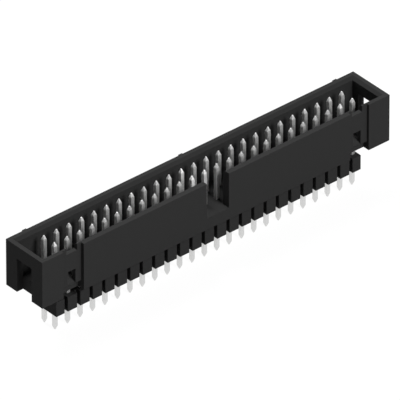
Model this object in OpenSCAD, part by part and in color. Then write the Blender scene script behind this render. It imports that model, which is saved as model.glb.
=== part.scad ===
/* Dual-row shrouded pin header on a raised base. The long side with the key slot faces -Y. */

/* [Contacts] */
// Contact positions in each row
positions = 25; // [5:1:29]
// Distance between neighbouring contacts, along and across the rows
pitch = 2.54; // [2.3:0.01:2.8]
// Width of the square contact wire
wire_w = 0.64; // [0.4:0.01:0.8]
// Length of the four-sided point at each end of a contact
point_l = 0.7; // [0.5:0.05:1.2]
// Width of the small flat at the very tip
point_flat = 0.16; // [0.1:0.02:0.36]
// Length of the solder tails below the board seat
tail_l = 3.2; // [2:0.1:6]
// Depth of the contact tips below the rim of the shroud
tip_depth = 0; // [0:0.1:2]

/* [Shroud] */
// Distance from the last contact to the outside of an end wall
end_margin = 5.08; // [4.4:0.01:7]
// Width over the long walls
shroud_w = 8.7; // [8:0.05:11]
// Height of the shroud
shroud_h = 8.6; // [7.6:0.1:12]
// Thickness of the floor that holds the contacts
floor_t = 2.15; // [1.2:0.05:3]
// Thickness of the long walls and the end walls
wall_t = 1.25; // [0.9:0.05:1.5]
// Width and depth of the bevel round the mouth of the cavity
mouth_bevel = 0.5; // [0.2:0.05:0.7]
// Width of the key slot in the front wall
key_w = 4.5; // [3.5:0.1:5]
// Width of the arch through each end wall
arch_w = 3.5; // [2:0.1:5]
// Height of the arch above the underside of the shroud
arch_h = 6.2; // [3.5:0.1:7]
// Width of the three ribs on the back wall
rib_w = 0.8; // [0.5:0.1:2]
// How far the ribs stand proud of the back wall
rib_proud = 0.2; // [0.1:0.05:0.5]

/* [Front wall] */
// How far the long middle panel stands proud of the corner blocks
panel_proud = 0.2; // [0.1:0.05:0.5]
// Length of each corner block along the front
corner_l = 4.3; // [3:0.05:5]
// Length of the recess between a corner block and the middle panel
recess_l = 3.95; // [3.4:0.05:5]
// Depth of the recess behind the face of the corner block
recess_d = 0.45; // [0.2:0.05:0.6]
// Distance from the middle panel to the dip in the rim of the recess
dip_x = 0.8; // [0.2:0.05:0.9]
// Length of that dip
dip_l = 2.15; // [1:0.05:2.5]
// Depth of that dip
dip_d = 1.1; // [0.3:0.1:2]
// Thickness of the floor left over the undercut foot of the recess
ledge_t = 0.65; // [0.4:0.05:0.9]
// Width of the latch window in the recess
window_w = 1.5; // [0.6:0.05:2]
// Height of the latch window above the floor
window_h = 2; // [0.5:0.05:3]
// Distance from the corner block to the middle of the latch window
window_x = 2.05; // [1.2:0.05:2.3]
// Height of the step below the sloping sill of the latch window
sill_step = 0.05; // [0.05:0.05:0.3]
// How far that sill runs into the floor of the cavity
sill_run = 0.8; // [0:0.05:0.9]

/* [Spacer strip] */
// Open height between the shroud and the spacer strip
riser_gap = 1.8; // [0.5:0.1:8]
// Height of the spacer strip
strip_h = 2.7; // [1.5:0.1:4]
// Width of the spacer strip over its teeth
strip_w = 5.08; // [4.6:0.02:7]
// Length of the strip beyond the middle of its last contact
strip_end = 0.75; // [0.6:0.05:1.2]
// Width of the notches between the teeth
notch_w = 0.65; // [0.3:0.05:1.2]
// Depth of the notches between the teeth
notch_d = 0.95; // [0.4:0.05:1.3]

/* [Hidden] */
row_names = ["front", "back"];
row_y = [-pitch / 2, pitch / 2];
contact_names = [for (r = row_names, i = [1:positions]) str(r, "_contact_", i < 10 ? "0" : "", i)];

span = (positions - 1) * pitch;
half_l = span / 2 + end_margin;
half_w = shroud_w / 2;
cavity_half_l = half_l - wall_t;
cavity_half_w = half_w - wall_t;
shroud_z = strip_h + riser_gap;
floor_z = shroud_z + floor_t;
rim_z = shroud_z + shroud_h;
panel_half_l = half_l - corner_l - recess_l;
front_y = -half_w - panel_proud;
recess_y = -half_w + recess_d;
foot_z = floor_z - ledge_t;
field_half_l = positions * pitch / 2;
cut = 1;

function contact_x(i) = (i - 1) * pitch - span / 2;

// A rectangular block given by its lowest and highest corners
module block(low, high) {
    translate(low) cube([for (i = [0:2]) high[i] - low[i]]);
}

// The shape that shows one outline from the front and the other from the end
module crossed(front_outline, end_outline, reach) {
    intersection() {
        rotate([90, 0, 0]) linear_extrude(reach, center = true) polygon(front_outline);
        rotate([90, 0, 90]) linear_extrude(reach, center = true) polygon(end_outline);
    }
}

// A straight square wire with a four-sided point at both ends
module contact() {
    low = -tail_l;
    high = rim_z - tip_depth;
    side = wire_w / 2;
    tip = point_flat / 2;
    outline = [
        [side, low + point_l], [side, high - point_l], [tip, high], [-tip, high],
        [-side, high - point_l], [-side, low + point_l], [-tip, low], [tip, low]];
    color("silver") crossed(outline, outline, 2 * wire_w);
}

module contact_holes(low, high) {
    for (y = row_y, i = [1:positions])
        block([contact_x(i) - wire_w / 2, y - wire_w / 2, low],
              [contact_x(i) + wire_w / 2, y + wire_w / 2, high]);
}

// The flared mouth seen from one side, wider towards the rim
function mouth_outline(half) = [
    [-half, rim_z - mouth_bevel], [half, rim_z - mouth_bevel],
    [half + mouth_bevel + cut, rim_z + cut], [-half - mouth_bevel - cut, rim_z + cut]];

module cavity() {
    block([-cavity_half_l, -cavity_half_w, floor_z], [cavity_half_l, cavity_half_w, rim_z + cut]);
    crossed(mouth_outline(cavity_half_l), mouth_outline(cavity_half_w), 4 * half_l);
}

module key_slot() {
    block([-key_w / 2, front_y - cut, floor_z], [key_w / 2, 0, rim_z + cut]);
}

module end_arch() {
    block([cavity_half_l, -arch_w / 2, shroud_z - cut], [half_l + cut, arch_w / 2, shroud_z + arch_h]);
}

// Recess beside the right-hand corner block, with the dip in its rim and its undercut foot
module front_recess() {
    start = panel_half_l;
    end = panel_half_l + recess_l;
    block([start, front_y - cut, shroud_z - cut], [end, recess_y, rim_z + cut]);
    block([start + dip_x, front_y - cut, rim_z - dip_d], [start + dip_x + dip_l, 0, rim_z + cut]);
    block([start, front_y - cut, shroud_z - cut], [end, -cavity_half_w, foot_z]);
}

// Window through the recess into the cavity, with a sill that slopes down from the floor to the face
module latch_window() {
    top = floor_z + window_h;
    sill = foot_z + sill_step;
    sill_end = sill_run - cavity_half_w;
    translate([half_l - corner_l - window_x, 0, 0]) rotate([90, 0, 90])
        linear_extrude(window_w, center = true)
            polygon([[recess_y - cut, sill], [recess_y, sill], [sill_end, floor_z],
                     [sill_end, top], [recess_y - cut, top]]);
}

module shroud() {
    color("#2f2f2f") difference() {
        union() {
            block([-half_l, -half_w, shroud_z], [half_l, half_w, rim_z]);
            block([-panel_half_l, front_y, shroud_z], [panel_half_l, 0, rim_z]);
            for (x = [-field_half_l, 0, field_half_l])
                block([x - rib_w / 2, 0, shroud_z], [x + rib_w / 2, half_w + rib_proud, rim_z]);
        }
        cavity();
        key_slot();
        for (side = [0, 1]) mirror([side, 0, 0]) {
            end_arch();
            front_recess();
            latch_window();
        }
        contact_holes(shroud_z - cut, floor_z + cut);
    }
}

// Comb-edged strip that holds the solder tails in line
module spacer_strip() {
    tooth_l = pitch - notch_w;
    strip_half_l = span / 2 + strip_end;
    color("#2f2f2f") difference() {
        block([-strip_half_l, -strip_w / 2, 0], [strip_half_l, strip_w / 2, strip_h]);
        for (side = [0, 1], i = [1:positions - 1]) mirror([0, side, 0])
            block([contact_x(i) + tooth_l / 2, strip_w / 2 - notch_d, -cut],
                  [contact_x(i + 1) - tooth_l / 2, strip_w / 2 + cut, strip_h + cut]);
        contact_holes(-cut, strip_h + cut);
    }
}

shroud();
spacer_strip();
for (r = [0, 1], i = [1:positions])
    translate([contact_x(i), row_y[r], 0]) contact();
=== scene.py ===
import math

import bmesh
import bpy
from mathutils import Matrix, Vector


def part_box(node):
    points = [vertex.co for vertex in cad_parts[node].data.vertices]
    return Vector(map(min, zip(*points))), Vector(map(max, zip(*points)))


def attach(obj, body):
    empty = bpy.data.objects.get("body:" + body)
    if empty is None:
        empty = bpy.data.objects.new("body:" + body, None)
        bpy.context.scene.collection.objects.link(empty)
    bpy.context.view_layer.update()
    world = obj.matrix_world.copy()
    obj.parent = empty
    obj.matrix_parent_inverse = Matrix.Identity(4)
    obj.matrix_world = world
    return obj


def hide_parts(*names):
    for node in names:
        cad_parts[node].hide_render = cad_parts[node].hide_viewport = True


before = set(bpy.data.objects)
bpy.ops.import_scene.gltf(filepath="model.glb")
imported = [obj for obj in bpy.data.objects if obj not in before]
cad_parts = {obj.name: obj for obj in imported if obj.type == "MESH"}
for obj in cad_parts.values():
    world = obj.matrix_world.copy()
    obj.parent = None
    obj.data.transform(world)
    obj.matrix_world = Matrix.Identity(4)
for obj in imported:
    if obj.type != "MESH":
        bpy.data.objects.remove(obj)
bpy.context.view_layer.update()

bl_info = {
    "name": "Shrouded Pin Header",
    "version": (1, 0, 0),
    "blender": (4, 5, 0),
    "location": "3D View > Sidebar > Pin Header",
    "description": "Finishes a dual-row shrouded pin header: moulded edges, grained plastic and tinned wire",
    "category": "Object",
}

MM = 0.001
BODY = "root"
ROWS = ("front", "back")
STRIP_MIDDLE_Z = sum(corner.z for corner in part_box("spacer_strip")) / 2
TAIL_TIP_Z, UPPER_TIP_Z = (corner.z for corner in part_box("front_contact_01"))

# Rounding: bends below FLAT_ANGLE are dissolved, those above SHARP_ANGLE are edges, and those from
# SHOULDER_ANGLE up to SHARP_ANGLE are the shoulders between a wire and its point
WELD_DISTANCE = 0.001 * MM
FLAT_ANGLE = math.radians(0.5)
SHOULDER_ANGLE = math.radians(10)
SHARP_ANGLE = math.radians(30)
SHOULDER_SEGMENTS = 3
EDGE_SEGMENTS = 2

# Plastic: flow marks along the rows, and how much flow and grain change the tone and the roughness
FLOW_SIZE = 6 * MM
FLOW_STRETCH = (0.25, 1.0, 1.0)
FLOW_SHARE = 0.06
GRAIN_SHARE = 0.1
TONE_SPREAD = 0.15

# Wire: lines drawn along it, a mottle, and how far the blends into the painted highlight on the point and
# into the dipped tail reach
LINE_WIDTH = 0.03 * MM
LINE_DEPTH = 0.0015 * MM
LINE_STRETCH = (1.0, 1.0, 0.02)
LINE_SHARE = 0.4
LINE_GLOSS = 0.08
MOTTLE_SIZE = 0.5 * MM
MOTTLE_SHARE = 0.6
MOTTLE_GLOSS = 0.12
DULL_SHARE = 0.86
HIGHLIGHT_BLEND = 0.05 * MM
DIP_BLEND = 1 * MM

# Stage, in metres
LAMP_DISTANCE = 1.0
FLOOR_HALF_WIDTH = 3.0

# How white the floor is to the camera and in gloss, and the share of that white over its own paint
FLOOR_WHITE = 1.07
FLOOR_WHITE_SHARE = 0.9

# Clipping planes, in distances from the camera to the header
CLIP_NEAR = 0.1
CLIP_FAR = 4


# Shader signals

class Signal:
    """One socket of a shader, on which arithmetic adds Math nodes."""

    def __init__(self, shader, socket):
        self.shader = shader
        self.socket = socket

    def math(self, operation, *values):
        return self.shader.node("ShaderNodeMath", {"operation": operation}, dict(enumerate(values)))

    def __add__(self, other):
        return self.math("ADD", self, other)

    __radd__ = __add__

    def __sub__(self, other):
        return self.math("SUBTRACT", self, other)

    def __rsub__(self, other):
        return self.math("SUBTRACT", other, self)

    def __mul__(self, other):
        return self.math("MULTIPLY", self, other)

    __rmul__ = __mul__

    def clamp(self):
        return self.math("MINIMUM", self.math("MAXIMUM", self, 0.0), 1.0)


class Shader:
    """The node tree of a material or a world, filled through one method."""

    def __init__(self, owner):
        owner.use_nodes = True
        self.tree = owner.node_tree
        self.tree.nodes.clear()

    def node(self, kind, settings=None, inputs=None, output=0):
        """Adds a node, sets it up, then fills its sockets with values or links."""
        made = self.tree.nodes.new(kind)
        for name, value in (settings or {}).items():
            setattr(made, name, value)
        for name, value in (inputs or {}).items():
            if isinstance(value, Signal):
                self.tree.links.new(value.socket, made.inputs[name])
            else:
                made.inputs[name].default_value = value
        return Signal(self, made.outputs[output]) if made.outputs else None

    def noise(self, where, scale, detail=2.0, roughness=0.5):
        """Noise from 0 to 1 whose features are about 1 / scale metres across."""
        return self.node("ShaderNodeTexNoise", None,
                         {"Vector": where, "Scale": scale, "Detail": detail, "Roughness": roughness})

    def stretched(self, where, factors):
        """The coordinates scaled by three factors."""
        return self.node("ShaderNodeMapping", None, {"Vector": where, "Scale": factors})

    def mixed(self, share, first, second):
        """A colour between two, by a share from 0 to 1."""
        return self.node("ShaderNodeMix", {"data_type": "RGBA"}, {0: share, 6: first, 7: second}, output=2)

    def object_coordinates(self):
        return self.node("ShaderNodeTexCoord", output="Object")

    def bump(self, height, depth):
        """A normal from a height of 0 to 1 that stands for a depth in metres."""
        return self.node("ShaderNodeBump", None, {"Height": height, "Distance": depth, "Strength": 1.0})


def grey(level):
    """A grey as a socket takes it."""
    return (level, level, level, 1.0)


def opaque(color, share=1.0):
    """A colour setting times a share, as a socket takes it."""
    return tuple(channel * share for channel in color) + (1.0,)


def moulded_plastic(name, look):
    """Near-black glass-filled plastic with a spark-eroded grain and a faint flow of tone."""
    material = bpy.data.materials.new(name)
    shader = Shader(material)
    where = shader.object_coordinates()
    flow = shader.noise(shader.stretched(where, FLOW_STRETCH), 1 / FLOW_SIZE, detail=3.0)
    grain = shader.noise(where, 1 / look.grain_size, detail=3.0, roughness=0.6)
    unevenness = (flow - 0.5) * FLOW_SHARE + (grain - 0.5) * GRAIN_SHARE
    dark = opaque(look.plastic_color, 1 - TONE_SPREAD)
    light = opaque(look.plastic_color, 1 + TONE_SPREAD)
    surface = shader.node("ShaderNodeBsdfPrincipled", None, {
        "Base Color": shader.mixed((unevenness + 0.5).clamp(), dark, light),
        "Roughness": look.plastic_roughness + unevenness,
        "Specular IOR Level": look.plastic_specular,
        "Normal": shader.bump(grain, look.grain_depth),
    })
    shader.node("ShaderNodeOutputMaterial", None, {"Surface": surface})
    return material


def tinned_wire(name, look):
    """Tin plating with drawn lines and a soft mottle, upper points painted brighter as a highlight, and
    solder-dipped tails.
    """
    material = bpy.data.materials.new(name)
    shader = Shader(material)
    where = shader.object_coordinates()
    height = shader.node("ShaderNodeSeparateXYZ", None, {"Vector": where}, output="Z")
    # Mask of the upper points, on which a brighter colour is painted as a highlight
    highlighted = ((height - (UPPER_TIP_Z - look.highlight_length)) * (1 / HIGHLIGHT_BLEND)).clamp()
    dipped = ((STRIP_MIDDLE_Z - height) * (1 / DIP_BLEND)).clamp()
    lines = shader.noise(shader.stretched(where, LINE_STRETCH), 1 / LINE_WIDTH)
    mottle = shader.noise(where, 1 / MOTTLE_SIZE, detail=3.0, roughness=0.6)
    shine = (mottle * MOTTLE_SHARE + lines * LINE_SHARE).clamp()
    drawn = shader.mixed(shine, opaque(look.plating_color, DULL_SHARE), opaque(look.plating_color))
    # Painted highlight: the upper points take a brighter colour than the plating
    plating = shader.mixed(highlighted, drawn, opaque(look.highlight_color))
    surface = shader.node("ShaderNodeBsdfPrincipled", None, {
        "Base Color": shader.mixed(dipped, plating, opaque(look.tail_color)),
        "Metallic": look.plating_metallic + dipped * (look.tail_metallic - look.plating_metallic),
        "Roughness": look.plating_roughness + (mottle - 0.5) * MOTTLE_GLOSS + (lines - 0.5) * LINE_GLOSS,
        "Normal": shader.bump(lines, LINE_DEPTH),
    })
    shader.node("ShaderNodeOutputMaterial", None, {"Surface": surface})
    return material


# Pieces

def placed(name, data):
    """A new object in the scene."""
    made = bpy.data.objects.new(name, data)
    bpy.context.scene.collection.objects.link(made)
    return made


def placed_form(name, form, material):
    """A new object in the scene with the mesh of a form, which is then freed."""
    mesh = bpy.data.meshes.new(name)
    form.to_mesh(mesh)
    form.free()
    mesh.materials.append(material)
    return placed(name, mesh)


def round_edges(form, edges, radius, segments):
    """Rounds some edges of a form and shades the roundings smooth."""
    rounded = bmesh.ops.bevel(form, geom=edges, offset=radius, offset_type="OFFSET", segments=segments,
                              profile=0.5, affect="EDGES", clamp_overlap=True, material=-1)
    for face in rounded["faces"]:
        face.smooth = True


def place(part):
    """The summed coordinates of a vertex, or of the vertices of an edge or face."""
    corners = getattr(part, "verts", (part,))
    return tuple(sum(corner.co[axis] for corner in corners) for axis in range(3))


def sort_by_place(form):
    """Gives the parts of a form a fixed order, because a bevel can leave another one in each run."""
    for parts in (form.verts, form.edges, form.faces):
        ranks = {part: rank for rank, part in enumerate(sorted(parts, key=place))}
        parts.sort(key=ranks.get)


def rounded_copy(node, name, radius, material, shoulder_radius=0.0):
    """A piece in the place of a node, with the same form and its edges rounded."""
    form = bmesh.new()
    form.from_mesh(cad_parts[node].data)
    bmesh.ops.remove_doubles(form, verts=form.verts, dist=WELD_DISTANCE)
    bmesh.ops.dissolve_limit(form, angle_limit=FLAT_ANGLE, verts=form.verts, edges=form.edges)
    for face in form.faces:
        face.smooth = False
    if shoulder_radius:
        shoulders = [edge for edge in form.edges if SHOULDER_ANGLE < edge.calc_face_angle() < SHARP_ANGLE]
        round_edges(form, shoulders, shoulder_radius, SHOULDER_SEGMENTS)
    sharp = [edge for edge in form.edges if edge.is_manifold and edge.calc_face_angle() > SHARP_ANGLE]
    round_edges(form, sharp, radius, EDGE_SEGMENTS)
    sort_by_place(form)
    piece = placed_form(name, form, material)
    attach(piece, BODY)
    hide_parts(node)


# Settings

class MouldingSettings(bpy.types.PropertyGroup):
    edge_radius: bpy.props.FloatProperty(
        name="Edge radius", description="Radius on every moulded edge",
        default=0.05 * MM, min=0.0, unit="LENGTH")
    plastic_color: bpy.props.FloatVectorProperty(
        name="Plastic colour", description="Base colour of both mouldings",
        default=(0.03, 0.03, 0.03), min=0.0, max=1.0, subtype="COLOR")
    plastic_roughness: bpy.props.FloatProperty(
        name="Roughness", description="Mean roughness of the moulded skin", default=0.6, subtype="FACTOR")
    plastic_specular: bpy.props.FloatProperty(
        name="Specular level", description="Strength of the plastic's sheen", default=0.01, subtype="FACTOR")
    grain_size: bpy.props.FloatProperty(
        name="Grain size", description="Width of the spark-eroded grain",
        default=0.09 * MM, min=0.001 * MM, unit="LENGTH")
    grain_depth: bpy.props.FloatProperty(
        name="Grain depth", description="Depth of the spark-eroded grain",
        default=0.004 * MM, min=0.0, unit="LENGTH")


class ContactSettings(bpy.types.PropertyGroup):
    corner_radius: bpy.props.FloatProperty(
        name="Corner radius", description="Radius on the long edges of the wire and on its point",
        default=0.01 * MM, min=0.0, unit="LENGTH")
    shoulder_radius: bpy.props.FloatProperty(
        name="Shoulder blend", description="Reach of the soft blend between the wire and its point",
        default=0.08 * MM, min=0.0, unit="LENGTH")
    # Length of the upper point on which a brighter colour is painted as a highlight
    highlight_length: bpy.props.FloatProperty(
        name="Bright length", description="Length of the brighter coined tip at the top of a contact",
        default=0.6 * MM, min=0.0, unit="LENGTH")
    plating_color: bpy.props.FloatVectorProperty(
        name="Plating colour", description="Colour of the tin plating",
        default=(0.68, 0.68, 0.675), min=0.0, max=1.0, subtype="COLOR")
    # Brighter colour painted on the upper points as a highlight
    highlight_color: bpy.props.FloatVectorProperty(
        name="Point colour", description="Colour of the coined faces of the upper points",
        default=(0.88, 0.88, 0.875), min=0.0, max=1.0, subtype="COLOR")
    plating_metallic: bpy.props.FloatProperty(
        name="Metallic", description="Share of mirror-like reflection in the matt plating",
        default=0.5, subtype="FACTOR")
    plating_roughness: bpy.props.FloatProperty(
        name="Roughness", description="Mean roughness of the plating", default=0.3, subtype="FACTOR")
    tail_color: bpy.props.FloatVectorProperty(
        name="Tail colour", description="Colour of the solder on the dipped tails",
        default=(0.66, 0.66, 0.655), min=0.0, max=1.0, subtype="COLOR")
    tail_metallic: bpy.props.FloatProperty(
        name="Tail metallic", description="Share of mirror-like reflection on the dipped tails",
        default=0.95, subtype="FACTOR")


class StageSettings(bpy.types.PropertyGroup):
    view_azimuth: bpy.props.FloatProperty(
        name="View azimuth", description="Turn of the view round the header",
        default=math.radians(-40.62), subtype="ANGLE")
    view_elevation: bpy.props.FloatProperty(
        name="View elevation", description="Height of the view above the horizon",
        default=math.radians(34.42), subtype="ANGLE")
    view_width: bpy.props.FloatProperty(
        name="View width", description="Width that the picture takes in at the header",
        default=62.23 * MM, unit="LENGTH")
    view_middle: bpy.props.FloatVectorProperty(
        name="View middle", description="Point of the header in the middle of the picture",
        default=(0.1 * MM, -0.13 * MM, 6.79 * MM), subtype="TRANSLATION", unit="LENGTH")
    focal_length: bpy.props.FloatProperty(
        name="Focal length", description="Long lens, for a nearly parallel view",
        default=1500.0, subtype="DISTANCE_CAMERA")
    floor_tone: bpy.props.FloatProperty(
        name="Floor tone", description="Brightness of the pale floor", default=0.5, subtype="FACTOR")
    overhead_watts: bpy.props.FloatProperty(
        name="Overhead light", description="Power of the softbox above the header", default=3.6, unit="POWER")
    front_watts: bpy.props.FloatProperty(
        name="Front light", description="Power of the softbox before the front wall",
        default=8.4, unit="POWER")
    back_watts: bpy.props.FloatProperty(
        name="Back light", description="Power of the softbox behind the header, on its upper faces",
        default=9.5, unit="POWER")


class HeaderSettings(bpy.types.PropertyGroup):
    moulding: bpy.props.PointerProperty(type=MouldingSettings)
    contact: bpy.props.PointerProperty(type=ContactSettings)
    stage: bpy.props.PointerProperty(type=StageSettings)


# Operators

class HEADER_OT_shroud(bpy.types.Operator):
    """Make the shroud as moulded, with rounded edges and grained plastic"""

    bl_idname = "pin_header.shroud"
    bl_label = "Shroud"

    def execute(self, context):
        look = context.scene.pin_header.moulding
        rounded_copy("shroud", "shroud_moulding", look.edge_radius,
                     moulded_plastic("shroud_plastic", look))
        return {"FINISHED"}


class HEADER_OT_spacer_strip(bpy.types.Operator):
    """Make the comb-edged spacer strip as moulded"""

    bl_idname = "pin_header.spacer_strip"
    bl_label = "Spacer Strip"

    def execute(self, context):
        look = context.scene.pin_header.moulding
        rounded_copy("spacer_strip", "spacer_strip_moulding", look.edge_radius,
                     moulded_plastic("strip_plastic", look))
        return {"FINISHED"}


class HEADER_OT_contacts(bpy.types.Operator):
    """Make both rows of contacts as tinned square wire with softened corners"""

    bl_idname = "pin_header.contacts"
    bl_label = "Contacts"

    def execute(self, context):
        look = context.scene.pin_header.contact
        plating = tinned_wire("contact_tin", look)
        for node in sorted(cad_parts):
            if node.startswith(ROWS):
                rounded_copy(node, node + "_wire", look.corner_radius, plating,
                             look.shoulder_radius)
        return {"FINISHED"}


def direction(azimuth, elevation):
    """The unit vector towards a viewer or lamp: azimuth 0 stands before the front wall."""
    return Vector((math.sin(azimuth) * math.cos(elevation),
                   -math.cos(azimuth) * math.cos(elevation),
                   math.sin(elevation)))


def softbox(name, azimuth, elevation, size, watts):
    """A square lamp aimed at the header, in degrees and metres."""
    lamp = bpy.data.lights.new(name, "AREA")
    lamp.shape = "SQUARE"
    lamp.size = size
    lamp.energy = watts
    away = direction(math.radians(azimuth), math.radians(elevation))
    holder = placed(name, lamp)
    holder.location = away * LAMP_DISTANCE
    holder.rotation_euler = away.to_track_quat("Z", "Y").to_euler()
    holder.visible_camera = False


def seen_directly(shader):
    """1 for rays from the camera or off gloss and glass, else 0."""
    path = "ShaderNodeLightPath"
    return (shader.node(path, output="Is Camera Ray") + shader.node(path, output="Is Glossy Ray")
            + shader.node(path, output="Is Transmission Ray")).clamp()


class HEADER_OT_stage(bpy.types.Operator):
    """Set up the pale floor, the soft lights and the camera"""

    bl_idname = "pin_header.stage"
    bl_label = "Stage"

    def execute(self, context):
        look = context.scene.pin_header.stage
        self.make_camera(context.scene, look)
        self.make_floor(look)
        self.make_sky(context.scene)
        softbox("overhead_softbox", azimuth=180, elevation=75, size=0.2, watts=look.overhead_watts)
        softbox("front_softbox", azimuth=5, elevation=38, size=0.35, watts=look.front_watts)
        softbox("back_softbox", azimuth=180, elevation=40, size=0.4, watts=look.back_watts)
        context.scene.view_settings.view_transform = "Standard"
        return {"FINISHED"}

    @staticmethod
    def make_camera(scene, look):
        lens = bpy.data.cameras.new("camera")
        lens.lens = look.focal_length
        away = direction(look.view_azimuth, look.view_elevation)
        distance = look.view_width * look.focal_length / lens.sensor_width
        lens.clip_start = distance * CLIP_NEAR
        lens.clip_end = distance * CLIP_FAR
        camera = placed("camera", lens)
        camera.location = Vector(look.view_middle) + away * distance
        camera.rotation_euler = away.to_track_quat("Z", "Y").to_euler()
        scene.camera = camera

    @staticmethod
    def make_floor(look):
        form = bmesh.new()
        bmesh.ops.create_grid(form, x_segments=1, y_segments=1, size=FLOOR_HALF_WIDTH)
        bmesh.ops.translate(form, verts=form.verts, vec=(0, 0, TAIL_TIP_Z))
        material = bpy.data.materials.new("floor_paint")
        shader = Shader(material)
        paint = shader.node("ShaderNodeBsdfDiffuse", None, {"Color": grey(look.floor_tone)})
        white = shader.node("ShaderNodeEmission", None, {"Color": grey(1.0), "Strength": FLOOR_WHITE})
        seen = seen_directly(shader) * FLOOR_WHITE_SHARE
        surface = shader.node("ShaderNodeMixShader", None, {0: seen, 1: paint, 2: white})
        shader.node("ShaderNodeOutputMaterial", None, {"Surface": surface})
        floor = placed_form("floor", form, material)

    @staticmethod
    def make_sky(scene):
        scene.world = bpy.data.worlds.new("sky")
        shader = Shader(scene.world)
        surface = shader.node("ShaderNodeBackground", None,
                              {"Color": grey(1.0), "Strength": seen_directly(shader)})
        shader.node("ShaderNodeOutputWorld", None, {"Surface": surface})


class HEADER_PT_panel(bpy.types.Panel):
    """Lists the pieces of the header and their settings"""

    bl_label = "Pin Header"
    bl_idname = "HEADER_PT_panel"
    bl_space_type = "VIEW_3D"
    bl_region_type = "UI"
    bl_category = "Pin Header"

    def draw(self, context):
        header = context.scene.pin_header
        for title, group, operators in (
                ("Mouldings", header.moulding, (HEADER_OT_shroud, HEADER_OT_spacer_strip)),
                ("Contacts", header.contact, (HEADER_OT_contacts,)),
                ("Stage", header.stage, (HEADER_OT_stage,))):
            box = self.layout.box()
            box.label(text=title)
            for name in group.__annotations__:
                box.prop(group, name)
            for operator in operators:
                box.operator(operator.bl_idname)


CLASSES = (MouldingSettings, ContactSettings, StageSettings, HeaderSettings,
           HEADER_OT_shroud, HEADER_OT_spacer_strip, HEADER_OT_contacts, HEADER_OT_stage, HEADER_PT_panel)


def register():
    for cls in CLASSES:
        bpy.utils.register_class(cls)
    bpy.types.Scene.pin_header = bpy.props.PointerProperty(type=HeaderSettings)


def unregister():
    del bpy.types.Scene.pin_header
    for cls in reversed(CLASSES):
        bpy.utils.unregister_class(cls)


def main():
    register()
    bpy.ops.pin_header.shroud()
    bpy.ops.pin_header.spacer_strip()
    bpy.ops.pin_header.contacts()
    bpy.ops.pin_header.stage()


if __name__ == "__main__":
    main()
